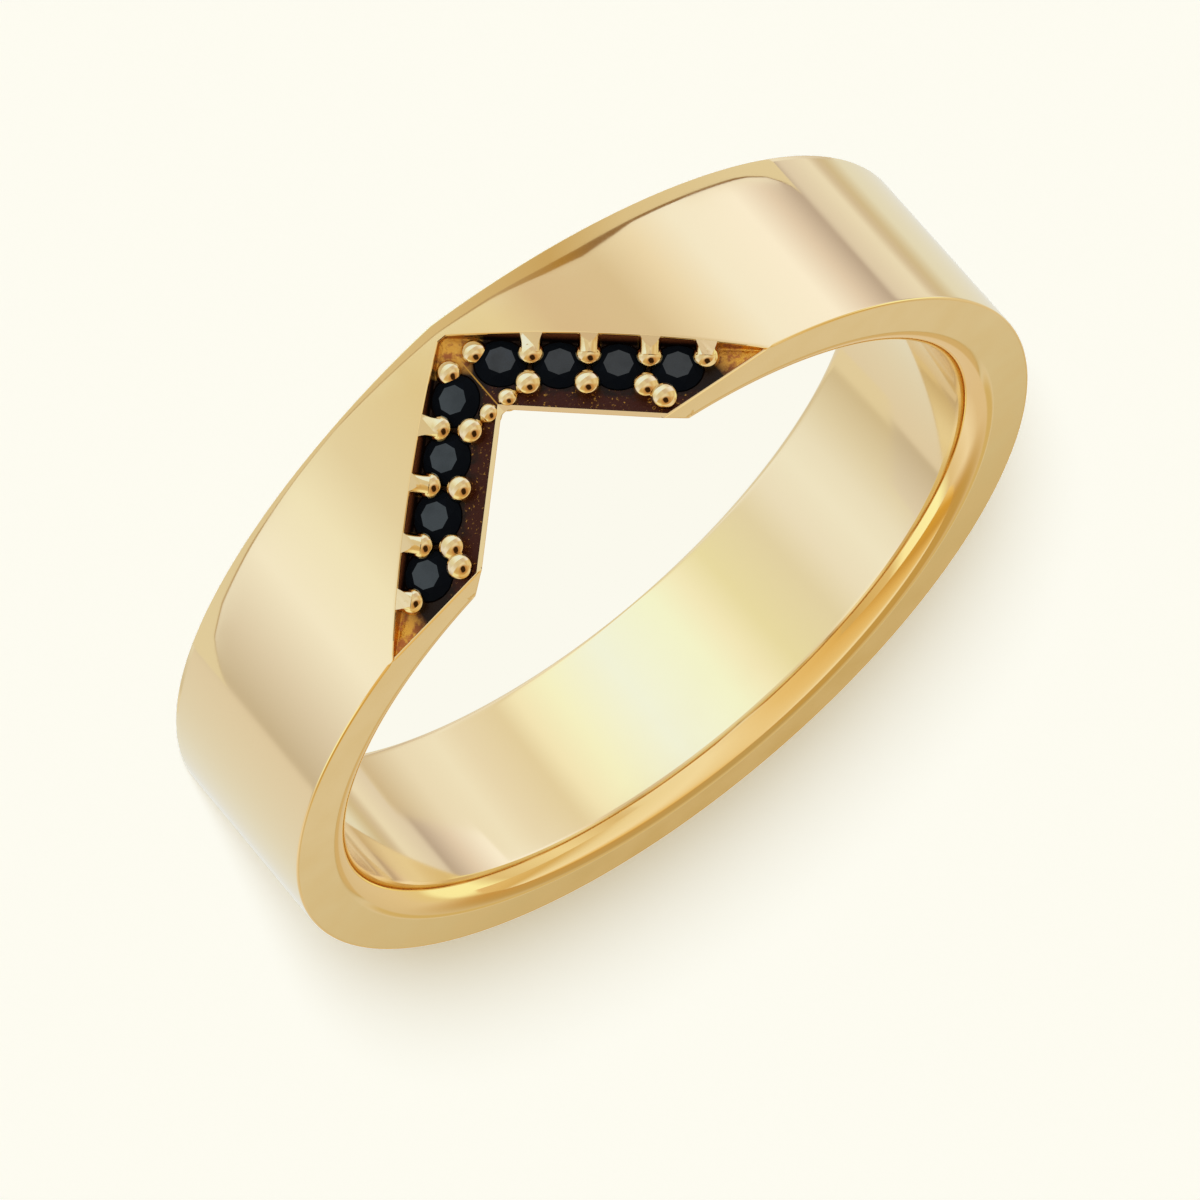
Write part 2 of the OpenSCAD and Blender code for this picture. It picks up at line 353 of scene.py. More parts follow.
def band_pieces(s, turns):
    """The pieces of every section, from the plain rim outwards and round to the bore.

    Each is an array of (radius, height) points per column: plain rim, outer face, recess
    wall, floor, lip side, lip, rim, notch wall, comfort edge and bore wall.
    """
    turn = np.abs(turns)
    at = special_turns(s)
    reach = s.point_reach * s.outer_r
    from_point = np.clip(s.outer_r * np.sin(turn) / reach, 0, 1)
    front = turn < math.pi / 2
    bottom = np.where(front, s.rim_z * (1 - (1 - from_point) ** 2), s.rim_z)

    def pair(r, z):
        """Points from radii and heights."""
        return np.stack(np.broadcast_arrays(r, z), -1).astype(float)

    inner_foot = pair(s.bore_r, bottom)
    outer_foot = pair(s.outer_r, bottom)

    spread = np.cos(np.minimum(np.abs(turn - s.arm_turn), 1.0))
    floor_r = np.minimum(s.floor_d / spread, s.outer_r)
    lip_r = np.minimum(s.lip_d / spread, s.outer_r)
    low_top = s.top_z - s.rim_lip_w
    floor_low = wall_height(s, floor_r, turn)
    floor_high = np.minimum(lip_line(s, floor_r, turn), low_top)
    sunk = floor_low < floor_high
    wall_on_lip = np.minimum(wall_height(s, lip_r, turn), s.top_z)
    foot_r = np.where(sunk, floor_r, lip_r)
    foot_z = np.where(sunk, floor_low, wall_on_lip)
    end_z = np.where(sunk, floor_high, wall_on_lip)
    lip_z = np.where(sunk, np.minimum(lip_line(s, lip_r, turn), low_top), wall_on_lip)
    edge_z = np.minimum(notch_height(s, lip_r, turn), s.top_z)
    in_notch = turn < at.rim_corner
    shoulder = np.where(in_notch, edge_z - 0.05 * MM, edge_z)

    inside = turn <= at.tip
    ease = np.clip((turn - at.tip) / math.radians(1.0), 0, 1)
    ease = ease * ease * (3 - 2 * ease) * s.edge_r

    def corner_point(r, z, step):
        """A corner of the recess, or past its tip a point on the rounded outside edge."""
        bend = math.radians(22.5 * step)
        arc_r = s.outer_r - ease * (1 - math.cos(bend))
        arc_z = s.top_z - ease * (1 - math.sin(bend))
        return pair(np.where(inside, r, arc_r), np.where(inside, z, arc_z))

    wall_top = corner_point(s.outer_r, np.minimum(wall_height(s, s.outer_r, turn), s.top_z), 0)
    wall_foot = corner_point(foot_r, foot_z, 1)
    lip_foot = corner_point(foot_r, end_z, 2)
    lip_top = corner_point(lip_r, lip_z, 3)
    lip_end = corner_point(lip_r, shoulder, 4)

    flat_end = s.bore_r + s.comfort_r
    bend = np.linspace(0, math.pi / 2, BEND_STEPS)[None, :]
    flat = np.linspace(0, 1, FLAT_STEPS, endpoint=False)[None, :]
    start_r = lip_end[:, 0][:, None]
    rim_r = np.concatenate(
        [start_r + (flat_end - start_r) * flat, flat_end - s.comfort_r * np.sin(bend) + 0 * start_r], 1
    )
    rim_h = np.concatenate(
        [s.top_z + 0 * start_r * flat, s.top_z - s.comfort_r * (1 - np.cos(bend)) + 0 * start_r], 1
    )
    above = rim_h - notch_height(s, rim_r, turn[:, None])
    cut_here = above > 0
    last = rim_r.shape[1] - 1
    any_cut = cut_here.any(1)
    first = np.where(any_cut, cut_here.argmax(1), FLAT_STEPS)
    final = np.where(any_cut, last - cut_here[:, ::-1].argmax(1), FLAT_STEPS)
    rows = np.arange(len(turns))

    def crossing(low, high):
        """Place between two samples at which the rim meets the notch wall."""
        fl, fh = above[rows, low], above[rows, high]
        return np.where(fl * fh < 0, low + fl / np.where(fl == fh, 1, fl - fh), high)

    cut_from = np.where(first > 0, crossing(np.maximum(first - 1, 0), first), 0.0)
    cut_to = np.where(final < last, crossing(np.minimum(final + 1, last), final), last)
    cut_to = np.where((final < last) & any_cut, 2 * final + 1 - cut_to, cut_to)
    cut_from = np.where(any_cut, cut_from, FLAT_STEPS) / last
    cut_to = np.where(any_cut, cut_to, FLAT_STEPS) / last
    rim_line = np.stack([rim_r, rim_h], -1)
    notch_start = at_share(rim_line, cut_from[:, None])[:, 0]
    notch_end = at_share(rim_line, cut_to[:, None])[:, 0]
    notch_start[in_notch] = pair(lip_r, edge_z)[in_notch]
    bore_edge = np.minimum(s.top_z - s.comfort_r, notch_height(s, np.full_like(turn, s.bore_r), turn))
    notch_end[:, 1] = np.minimum(notch_end[:, 1], notch_height(s, notch_end[:, 0], turn))
    steps = np.linspace(0, 1, LINE_STEPS)[None, :]
    before = at_share(rim_line, cut_from[:, None] * steps)
    before[in_notch] = straight(lip_end, notch_start, LINE_STEPS)[in_notch]
    after = at_share(rim_line, cut_to[:, None] + (1 - cut_to)[:, None] * steps)
    past = notch_height(s, np.full_like(turn, s.bore_r), turn) < s.top_z - s.comfort_r
    after[past] = straight(notch_end, notch_end, LINE_STEPS)[past]
    skirt = 0.08 * MM
    bore_start = pair(s.bore_r, bore_edge - skirt)
    down = straight(after[:, -1], bore_start, 12)[:, 1:]
    after = np.concatenate([after, down], 1)
    whole = np.linalg.norm(np.diff(after, axis=1), axis=2).cumsum(1)
    whole = np.concatenate([0 * whole[:, :1], whole], 1)
    even = np.linspace(0, 1, FLAT_STEPS)[None, :] * whole[:, -1:]
    spaced = np.empty((len(turns), FLAT_STEPS, 2))
    for axis in range(2):
        spaced[..., axis] = np.stack([np.interp(e, w, a) for e, w, a in zip(even, whole, after[..., axis])])
    return [
        straight(inner_foot, outer_foot),
        straight(outer_foot, wall_top),
        straight(wall_top, wall_foot),
        straight(wall_foot, lip_foot),
        straight(lip_foot, lip_top),
        straight(lip_top, lip_end),
        before,
        straight(notch_start, notch_end),
        spaced,
        straight(bore_start, inner_foot),
    ]


def band_surface(s):
    """The band's outside and inside as one grid: sections carried round the finger.

    A section's point (r, z) at turn t from the front lies at (r sin t, -r cos t, z).
    """
    turns = band_turns(s)
    pieces = band_pieces(s, turns)
    small = s.cut_edge_r
    roundings = [s.plain_edge_r, s.edge_r, small, small, small, small, small, small, small, small]
    counts = [6, 12, 5, 8, 4, 5, 10, 9, 22, 8]
    parts = rounded_section(pieces, roundings, counts)
    section = np.concatenate(parts, 1)
    # Parts 4 to 9 are the recess wall, the floor and the lip's side, each with its next corner.
    row_slots = np.concatenate([
        np.full(part.shape[1], 1 if 3 < index < 10 else 0) for index, part in enumerate(parts)
    ])
    r, z = section[..., 0], section[..., 1]
    points = np.stack([r * np.sin(turns)[:, None], -r * np.cos(turns)[:, None], z], -1)
    faces = grid_faces(len(turns), section.shape[1], True)
    recessed = np.abs(turns)[:, None] < special_turns(s).tip
    slots = np.where(recessed, row_slots[None, :], 0)
    return points, faces, slots


def arm_matrix(s, side):
    """Frame of an arm: X along the band, Y up the ring, Z straight out; side is 1 or -1."""
    turn = Matrix.Rotation(s.arm_turn, 4, "Z") @ Matrix.Rotation(math.pi / 2, 4, "X")
    mirror = Matrix.Diagonal((side, 1, 1, 1))
    return np.array(mirror @ turn)


def on_row(s, side, along, off, out):
    """Frame on a stone row: X along the row, Y towards the notch, Z straight out."""
    sin_a, cos_a = math.sin(s.row_angle), math.cos(s.row_angle)
    run = s.fold_u + s.first_run + along * cos_a - off * sin_a
    rise = s.rim_z + s.first_rise + along * sin_a + off * cos_a
    place = Matrix.Translation((run, rise, out)) @ Matrix.Rotation(s.row_angle, 4, "Z")
    return arm_matrix(s, side) @ np.array(place)


def turned_shape(name, profile, sides, place, slot, materials):
    """A closed shape turned about its own Z from (radius, height) pairs, then placed."""
    profile = np.asarray(profile, float)
    turns = np.linspace(0, 2 * math.pi, sides, endpoint=False)[:, None]
    x = np.cos(turns) * profile[None, :, 0]
    y = np.sin(turns) * profile[None, :, 0]
    z = np.broadcast_to(profile[None, :, 1], x.shape)
    points = np.stack([x, y, z, np.ones_like(x)], -1) @ place.T
    faces = grid_faces(sides, len(profile), False)
    return new_object(name, points[..., :3], faces, slot, materials)


def dome_profile(r, dome, foot):
    """Round post from foot below the dome's middle, with a dome that is dome * r high."""
    bend = np.linspace(0, math.pi / 2, 12)
    arc = np.stack([r * np.cos(bend), dome * r * np.sin(bend)], -1)
    return np.concatenate([[[0.0, -foot], [r, -foot]], arc])


def neck_profile(r, reach):
    """Neck with a waist: its radius grows with the square of the distance from 0.4 of its length."""
    t = np.linspace(0, 1, 10)
    width = r * (0.86 + 0.6 * (t - 0.4) ** 2)
    side = np.stack([width, reach * t], -1)
    return np.concatenate([[[0.0, 0.0]], side, [[0.0, reach]]])


def bead_shapes(s, side, materials):
    """Beads and necks of one arm, from a row for each bead.

    A row gives the place along the row in pitches, the distance off the row as a share of
    its side's distance, the drop as a share of the bead height, and whether it has a neck.
    """
    outer = [(-0.45, 1.15, 0.4, False), (0.51, 0.9, 0, True), (1.49, 1, 0, True), (2.52, 0.9, 0, True),
             (3.47, 1.1, 0.1, True)]
    inner = [(0.49, 1.03, 0), (1.48, 0.95, 0), (2.48, 1, 0), (2.79, 1.46, 0)]
    beads, necks = [], []

    def add_bead(name, r, along, off, drop):
        """Dome on a post that reaches below the floor; returns the place of its middle."""
        middle = s.bead_h * (1 - drop) - s.bead_dome * r
        place = on_row(s, side, along * s.pitch, off, s.floor_d + middle)
        profile = dome_profile(r, s.bead_dome, middle + 0.5 * s.bead_h)
        beads.append(turned_shape(name, profile, 32, place, 2, materials))
        return place

    for index, (along, off, drop, neck) in enumerate(outer):
        place = add_bead(f"outer_{index}", s.bead_d / 2, along, -off * s.outer_off, drop)
        if neck:
            lean = np.array(Matrix.Rotation(math.pi / 2 - s.neck_rise, 4, "X"))
            profile = neck_profile(s.bar_w / 2, s.bar_l)
            necks.append(turned_shape(f"neck_{index}", profile, 28, place @ lean, 2, materials))
    for index, (along, off, drop) in enumerate(inner):
        add_bead(f"inner_{index}", s.bead_d / 2, along, off * s.inner_off, drop)
    add_bead("notch_bead", s.small_bead_d / 2, 0.15, 1.6 * s.inner_off, 0.5)
    return beads, necks


def face_cylinder(s, materials):
    """Solid cylinder just inside the outer face, which trims the bead necks flush."""
    r = s.outer_r - 0.004 * MM
    profile = [(0.0, -1 * MM), (r, -1 * MM), (r, 6 * MM), (0.0, 6 * MM)]
    return turned_shape("face_cylinder", profile, 720, np.eye(4), 2, materials)


def seat_shape(s, side, number, materials):
    """Room for one stone: a cone for the pavilion, a short wall and a cone over the crown."""
    g = s.gap
    profile = [
        (0.0, -s.pavilion_h - s.girdle_h - 2 * g),
        (s.stone_r + g, -s.girdle_h - g),
        (s.stone_r + g, g),
        (s.table_r + g, s.crown_h + g),
        (0.0, s.crown_h + g),
    ]
    place = on_row(s, side, number * s.pitch, 0, s.floor_d)
    return turned_shape("seat", profile, 64, place, 1, materials)


def add_node(tree, kind, inputs=None, stops=None, **settings):
    """Adds a shader node with its settings and its colour stops.

    An input takes a value, a socket, or a node, which stands for its first output.
    """
    made = tree.nodes.new("ShaderNode" + kind)
    for key, value in settings.items():
        setattr(made, key, value)
    if stops:
        band = made.color_ramp.elements
        while len(band) < len(stops):
            band.new(1.0)
        for element, (place, hex_colour) in zip(band, stops):
            element.position = place
            element.color = (*linear(hex_colour), 1)
    for key, value in (inputs or {}).items():
        if isinstance(value, bpy.types.Node):
            value = value.outputs[0]
        if isinstance(value, bpy.types.NodeSocket):
            tree.links.new(value, made.inputs[key])
        else:
            made.inputs[key].default_value = value
    return made


def new_material(name):
    """An empty node material, and add_node bound to its tree."""
    made = bpy.data.materials.new(name)
    made.use_nodes = True
    made.node_tree.nodes.clear()
    return made, partial(add_node, made.node_tree)


def polished_gold(look):
    """Yellow gold, lathe-turned and buffed: a clear mirror with a breath of polishing haze."""
    made, add = new_material("polished_yellow_gold")
    here = add("TexCoord").outputs["Object"]
    # Haze in patches of about 1.1 mm, and waves of the buffing wheel of about 6 mm.
    haze = add("TexNoise", {"Vector": here, "Scale": 900.0, "Detail": 3.0})
    wave = add("TexNoise", {"Vector": here, "Scale": 160.0, "Detail": 1.0})
    rough = add("MapRange", {
        "Value": haze, "From Min": 0.3, "From Max": 0.7, "To Min": 0.05, "To Max": 0.085})
    bump = add("Bump", {"Height": wave, "Strength": 0.04, "Distance": 0.02 * MM})
    metal = add("BsdfPrincipled", {
        "Base Color": (*look.gold, 1), "Metallic": 1.0, "Roughness": rough, "Normal": bump})
    add("OutputMaterial", {"Surface": metal})
    return made


def bead_gold(look):
    """Gold beads pushed up with a cupped tool: polished, with softer reflections."""
    made, add = new_material("burnished_gold_beads")
    here = add("TexCoord").outputs["Object"]
    # Marks of the tool, about 0.25 mm from one to the next.
    dents = add("TexNoise", {"Vector": here, "Scale": 4000.0, "Detail": 2.0})
    bump = add("Bump", {"Height": dents, "Strength": 0.1, "Distance": 0.02 * MM})
    # The beads' gold is a little darker than the band's: painted shade.
    metal = add("BsdfPrincipled", {
        "Base Color": (*look.bead_gold, 1), "Metallic": 1.0, "Roughness": 0.08, "Normal": bump})
    add("OutputMaterial", {"Surface": metal})
    return made


def cast_gold(look, s):
    """Gold as cast, unpolished, with painted shade in the recess: near black between the stones,
    red-brown towards the lip, lighter brown up the walls and at the ends. Shiny gold shows in
    crumbs strewn at random, and as painted light at the tips, at the fold point and beside the
    beads, with a painted highlight along the fold.

    The zones follow the stone row: along it in stone pitches and off it in millimetres.
    """
    made, add = new_material("tarnished_cast_gold")
    here = add("TexCoord").outputs["Object"]
    xyz = add("SeparateXYZ", {0: here})
    side = add("Math", {0: xyz.outputs["X"]}, operation="ABSOLUTE")
    folded = add("CombineXYZ", {"X": side, "Y": xyz.outputs["Y"], "Z": xyz.outputs["Z"]})
    sin_t, cos_t = math.sin(s.arm_turn), math.cos(s.arm_turn)
    sin_a, cos_a = math.sin(s.row_angle), math.cos(s.row_angle)
    run, rise = s.fold_u + s.first_run, s.rim_z + s.first_rise
    row_way = (cos_t * cos_a / s.pitch, sin_t * cos_a / s.pitch, sin_a / s.pitch)
    off_way = (-cos_t * sin_a / MM, -sin_t * sin_a / MM, cos_a / MM)
    row_dot = add("VectorMath", {0: folded, 1: row_way}, operation="DOT_PRODUCT")
    off_dot = add("VectorMath", {0: folded, 1: off_way}, operation="DOT_PRODUCT")
    row = add("Math", {
        0: row_dot.outputs["Value"], 1: (run * cos_a + rise * sin_a) / s.pitch}, operation="SUBTRACT")
    off = add("Math", {
        0: off_dot.outputs["Value"], 1: (-run * sin_a + rise * cos_a) / MM}, operation="SUBTRACT")
    # Grain of about 0.06 mm, coarser than the real one so that it shows, and patches of 0.2 mm.
    grain = add("TexNoise", {"Vector": here, "Scale": 16000.0, "Detail": 3.0})
    patch = add("TexNoise", {"Vector": here, "Scale": 5200.0, "Detail": 5.0})
    height = add("VectorMath", {0: folded, 1: (sin_t / MM, -cos_t / MM, 0)}, operation="DOT_PRODUCT")
    sway = add("MapRange", {
        "Value": patch, "From Min": 0.3, "From Max": 0.7, "To Min": -0.14, "To Max": 0.14})
    rough_off = add("Math", {0: off, 1: sway}, operation="ADD")
    by_lip = add("MapRange", {"Value": rough_off, "From Min": 0.5, "From Max": 0.85}, **SMOOTH)
    by_face = add("MapRange", {
        "Value": height.outputs["Value"], "From Min": (s.floor_d + 0.1 * MM) / MM,
        "From Max": (s.outer_r - 0.02 * MM) / MM}, **SMOOTH)
    tips = add("MapRange", {"Value": side, "From Min": 4.1 * MM, "From Max": 4.6 * MM})
    point = add("MapRange", {"Value": row, "From Min": -0.45, "From Max": -0.75, "To Max": 0.8})
    ends = add("Math", {0: tips, 1: point}, operation="MAXIMUM")
    # Painted shade in the recess: near black between the stones, red-brown towards the lip, and lighter
    # brown up the walls towards the outer face and at the arm tips and the fold point.
    shade_tone = add("Math", {0: by_lip, 1: by_face}, operation="MAXIMUM")
    brown = add("Math", {0: by_face, 1: ends}, operation="MAXIMUM")
    dark = add("Mix", {"Factor": shade_tone, 6: (*look.soot, 1), 7: (*look.tarnish, 1)}, data_type="RGBA")
    dark = add("Mix", {"Factor": brown, 6: dark.outputs[2], 7: (*look.rust, 1)}, data_type="RGBA")
    blotch = add("MapRange", {
        "Value": patch, "From Min": 0.38, "From Max": 0.56, "To Min": 0.05}, **SMOOTH)
    crumbs = add("MapRange", {"Value": grain, "From Min": 0.62, "From Max": 0.72, "To Max": 0.6})
    along_lip = add("MapRange", {"Value": off, "From Min": 0.5, "From Max": 0.7}, **SMOOTH)
    strewn = add("Math", {0: crumbs, 1: blotch}, operation="MULTIPLY")
    strewn = add("Math", {0: strewn, 1: along_lip}, operation="MULTIPLY")
    # Painted light: shinier, lighter gold in patches at the arm tips, at the fold point and beside the
    # outer beads by the wall.
    swing = add("Math", {0: row, 1: 2 * math.pi}, operation="MULTIPLY")
    crest = add("Math", {0: swing}, operation="COSINE")
    beside = add("MapRange", {"Value": crest, "From Min": -0.3, "From Max": -0.9, "To Max": 0.8})
    by_wall = add("MapRange", {"Value": off, "From Min": -0.42, "From Max": -0.56})
    wall_glow = add("Math", {0: beside, 1: by_wall}, operation="MULTIPLY")
    golden = add("Math", {0: ends, 1: wall_glow}, operation="MAXIMUM")
    golden = add("Math", {0: golden, 1: blotch}, operation="MULTIPLY")
    # Painted highlight: a thin shiny line along the fold.
    crease = add("MapRange", {
        "Value": side, "From Min": 0.02 * MM, "From Max": 0.006 * MM, "To Max": 0.5})
    # Shiny gold: painted light and highlight, and crumbs strewn at random beside the lip.
    crumbs_and_painted_light = add("Math", {0: golden, 1: crease}, operation="MAXIMUM")
    crumbs_and_painted_light = add("Math", {0: crumbs_and_painted_light, 1: strewn}, operation="MAXIMUM")
    tint = add("Mix", {"Factor": crumbs_and_painted_light, 6: dark.outputs[2], 7: (*look.cast_gold, 1)}, data_type="RGBA")
    shine = add("MapRange", {"Value": crumbs_and_painted_light, "To Min": 0.7})
    rough = add("MapRange", {"Value": crumbs_and_painted_light, "To Min": 0.4, "To Max": 0.25})
    bump = add("Bump", {"Height": grain, "Strength": 0.6, "Distance": 0.02 * MM})
    metal = add("BsdfPrincipled", {
        "Base Color": tint.outputs[2], "Metallic": shine, "Roughness": rough, "Normal": bump})
    add("OutputMaterial", {"Surface": metal})
    return made


def black_stone(look, s):
    """Black spinel, cut and polished: opaque, a soft gloss on the table, and a crown whose
    reflection is mostly replaced by painted shade, so that it looks near black.

    The table is told from the crown by how squarely its facet faces out of its arm.
    """
    made, add = new_material("black_spinel")
    place = add("TexCoord")
    xyz = add("SeparateXYZ", {0: place.outputs["Normal"]})
    spot = add("SeparateXYZ", {0: place.outputs["Object"]})
    hand = add("Math", {0: spot.outputs["X"]}, operation="SIGN")
    side = add("Math", {0: xyz.outputs["X"], 1: hand}, operation="MULTIPLY")
    facing = add("CombineXYZ", {"X": side, "Y": xyz.outputs["Y"], "Z": xyz.outputs["Z"]})
    squarely = add("VectorMath", {
        0: facing, 1: (math.sin(s.arm_turn), -math.cos(s.arm_turn), 0)}, operation="DOT_PRODUCT")
    # Clouds in the polish, about 0.4 mm across.
    cloud = add("TexNoise", {"Vector": place.outputs["Object"], "Scale": 2600.0, "Detail": 4.0})
    table = add("MapRange", {"Value": squarely.outputs["Value"], "From Min": 0.965, "From Max": 0.985})
    cloudy = add("MapRange", {
        "Value": cloud, "From Min": 0.3, "From Max": 0.7, "To Min": 0.8, "To Max": 1.15})
    gloss = add("Math", {0: table, 1: cloudy}, operation="MULTIPLY")
    # Painted tint of the reflections: blue-grey, darker on the crown and lighter on the table.
    tint = add("Mix", {
        "Factor": table, 6: (0.35, 0.45, 0.6, 1), 7: (0.6, 0.74, 0.92, 1)}, data_type="RGBA")
    rough = add("MapRange", {
        "Value": cloud, "From Min": 0.35, "From Max": 0.65, "To Min": 0.04, "To Max": 0.12})
    # Spinel bends light by 1.72. The higher value gives the tables the gloss that they show.
    gem = add("BsdfPrincipled", {
        "Base Color": (*look.stone, 1), "Roughness": rough, "IOR": 2.1,
        "Specular Tint": tint.outputs[2]})
    # Painted shade: a black matte coat takes the place of most of the crown's reflection and of part of the
    # table's.
    painted_shade_coat = add("BsdfDiffuse", {"Color": (*look.stone, 1)})
    share_of_gloss = add("MapRange", {"Value": gloss, "To Min": 0.015, "To Max": 0.75})
    mixed = add("MixShader", {0: share_of_gloss, 1: painted_shade_coat, 2: gem})
    add("OutputMaterial", {"Surface": mixed})
    return made


class RING_OT_band(bpy.types.Operator):
    """Build the polished band with its recess, notch, beads and stone seats"""

    bl_idname = "ring.band"
    bl_label = "Band"

    def execute(self, context):
        s = sizes()
        look = context.scene.ring_look
        materials = [polished_gold(look), cast_gold(look, s), bead_gold(look)]
        points, faces, slots = band_surface(s)
        band = new_object("gold_band", points, faces, slots, materials)
        for side in (1, -1):
            beads, necks = bead_shapes(s, side, materials)
            whole = necks[0]
            for neck in necks[1:]:
                combine(whole, neck, "UNION")
            combine(whole, face_cylinder(s, materials), "INTERSECT")
            for bead in beads:
                combine(whole, bead, "UNION")
            combine(band, whole, "UNION")
            for number in range(4):
                combine(band, seat_shape(s, side, number, materials), "DIFFERENCE")
        band.data.shade_smooth()
        band.data.set_sharp_from_angle(angle=math.radians(30))
        band.visible_diffuse = False
        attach(band, "root")
        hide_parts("band")
        return {"FINISHED"}


class RING_OT_stones(bpy.types.Operator):
    """Give the cut stones their finish"""

    bl_idname = "ring.stones"
    bl_label = "Stones"

    def execute(self, context):
        finish = black_stone(context.scene.ring_look, sizes())
        for name, stone in frame["nodes"].items():
            if name.startswith("stone_"):
                stone.data.materials.clear()
                stone.data.materials.append(finish)
        return {"FINISHED"}


def camera_matrix(spot, target, roll):
    """Matrix of a camera at spot that looks at target, turned by roll about its view."""
    ahead = (target - spot).normalized()
    right = ahead.cross(Vector((0, 0, 1))).normalized()
    up = right.cross(ahead)
    side = right * math.cos(roll) - up * math.sin(roll)
    top = right * math.sin(roll) + up * math.cos(roll)
    turn = Matrix((side, top, -ahead)).transposed()
    return Matrix.Translation(spot) @ turn.to_4x4()


# The tables below go by degrees from the front towards +X, unless they say otherwise.
# Tones of the soft studio walls below eye level.
WALL_TONES = [
    (-160, "#C3C3BD"), (-141, "#C5C6BF"), (-133, "#B4AA95"), (-129, "#B7AEA4"), (-125, "#CDCCCA"),
    (-113, "#C1BDC0"), (-111, "#A1989B"), (-101, "#C6C0C7"), (-90, "#DCE0F0"), (-70, "#D7DCE9"),
    (-57, "#CFCBC7"), (-45, "#BEB4A6"), (-27, "#BDB0A1"), (-15, "#C8C2AE"), (10, "#C3BBA4"),
    (35, "#C7C4BA"), (51, "#D3D7D8"), (70, "#D6DBE6"), (90, "#C2C0C4"), (108, "#ADA69F"),
    (110, "#C3BEBA"), (150, "#C4C6C5"),
]
# Tones of the card that the bore wall mirrors.
CARD_TONES = [
    (-126, "#C0BAB0"), (-124, "#B5AB9E"), (-106, "#CDCDD0"), (-90, "#D2D5DB"), (-80, "#CCCBCB"),
    (-63, "#C7C3B8"), (-55, "#D6D9D4"), (-42, "#D8E5E5"), (-20, "#D5E7FE"), (5, "#D7E8EE"),
    (17, "#D6DCD9"), (28, "#CCCFBE"), (49, "#C6C6C0"), (61, "#CED1D9"), (75, "#D2D8E3"),
    (86, "#CED2DA"), (99, "#C4C3C0"), (115, "#B6AFA1"), (118, "#C5C0B3"),
]
# Tones of the studio just above eye level.
LOW_SKY_TONES = [
    (-178, "#B9A98C"), (-140, "#C3B498"), (-127, "#C6B890"), (-121, "#DBDCB5"), (-104, "#DDE0B8"),
    (-94, "#C3B28A"), (-68, "#D1C6A5"), (-47, "#C0AC84"), (-25, "#CFCCBC"), (0, "#D4CDBC"),
    (27, "#C2AA77"), (47, "#B79C68"), (66, "#C2AC7E"), (74, "#DDDAB4"), (98, "#DEE4C0"),
    (108, "#C3B293"), (130, "#D0C6B4"), (148, "#C1B095"),
]
# Tones of the studio high up.
HIGH_SKY_TONES = [
    (-178, "#A48E60"), (-127, "#AD8950"), (-112, "#CBB682"), (-98, "#B99A60"), (-85, "#BFA172"),
    (0, "#C4A676"), (60, "#C0A164"), (90, "#C8AE72"), (106, "#AC8440"), (150, "#A88B53"),
]
# Tones of the back wall that the notched rim mirrors, by degrees of elevation.
BACK_TONES = [(20, "#B59E74"), (20.8, "#A68C57"), (21.3, "#B4AB8F"), (22.4, "#C0B6A2"), (24.5, "#B5A070")]
# Tones of the hood, by degrees round a point above the back of the ring.
HOOD_TONES = [
    (-178, "#BFA878"), (-90, "#C5A980"), (-66, "#C3AA78"), (-44, "#BBA06A"), (-25, "#CEC4A8"),
    (-8, "#D4CCB6"), (9, "#CAB384"), (26, "#C4A569"), (45, "#B18A44"), (66, "#B98F3B"),
    (90, "#D9C692"), (178, "#BFA878"),
]
# Tones of the ground close to the ring, on a lit strip that only the metal mirrors: a painted reflection of
# the ground with its shade and warm light beside the ring.
GROUND_TONES = [
    (-50, "#C4BEAE"), (-30, "#BFB49C"), (-18, "#B09A70"), (-5, "#B8A888"), (10, "#BDB29A"), (50, "#C4C0B4"),
]
# Tones of the shadow line on the ground's far border.
SHADOW_TONES = [(-26, "#7E6448"), (-20, "#94743F"), (-10, "#A08C70")]
# Where the outer face mirrors the far border of that ground, in degrees from the front and
# millimetres of height, and the thickness in millimetres of the shadow line on the border.
GROUND_BORDER = [
    (-53.4, 1.45, 0), (-53, 1.2, 0.02), (-52, 1, 0.03), (-50, 0.77, 0.03), (-47, 0.64, 0.04),
    (-45, 0.6, 0.06), (-28, 0.57, 0.07), (-25, 0.57, 0.14), (-20, 0.56, 0.22), (-15, 0.5, 0.16),
    (-8, 0.36, 0.05), (0, 0.24, 0.02), (17, 0.25, 0.02), (24, 0.3, 0.03), (36, 0.42, 0.04),
    (45, 0.55, 0.04), (50, 0.76, 0.03), (51.5, 0.95, 0.02), (53, 1.2, 0.02), (54.2, 1.5, 0.01),
    (54.6, 1.7, 0),
]
GROUND_DROP = 0.02 * MM
# The camera, in millimetres and degrees.
CAMERA_SPOT = (7.378, -196.348, 83.423)
CAMERA_TARGET = (0.7, 0.35, 3.099)
CAMERA_ROLL, CAMERA_LENS = -139.41, 285.6
STUDIO_GLOW = 1.5
# The hood over the ring, in millimetres: a roof and a front that hangs down to HOOD_LOW.
HOOD_HALF, HOOD_BACK, HOOD_FRONT, HOOD_TOP, HOOD_LOW = 12, 12, -9.5, 15, 4.95
HOOD_MIDDLE = (-0.5, 13.0)
# The card below the ring: its depth, and its reach in millimetres by degrees from the front.
CARD_DEPTH, CARD_START = 15, 0.5
CARD_REACH = [(96, 43.5), (98, 40.4), (126, 38.5)]
DARK_CORNER = "#2E1C0C"


def around(tones):
    """Ramp stops from degrees round the ring."""
    return [((degrees + 180) / 360, hex_colour) for degrees, hex_colour in tones]


def within(tones, low, high):
    """Ramp stops from degrees between low and high."""
    return [((degrees - low) / (high - low), hex_colour) for degrees, hex_colour in tones]


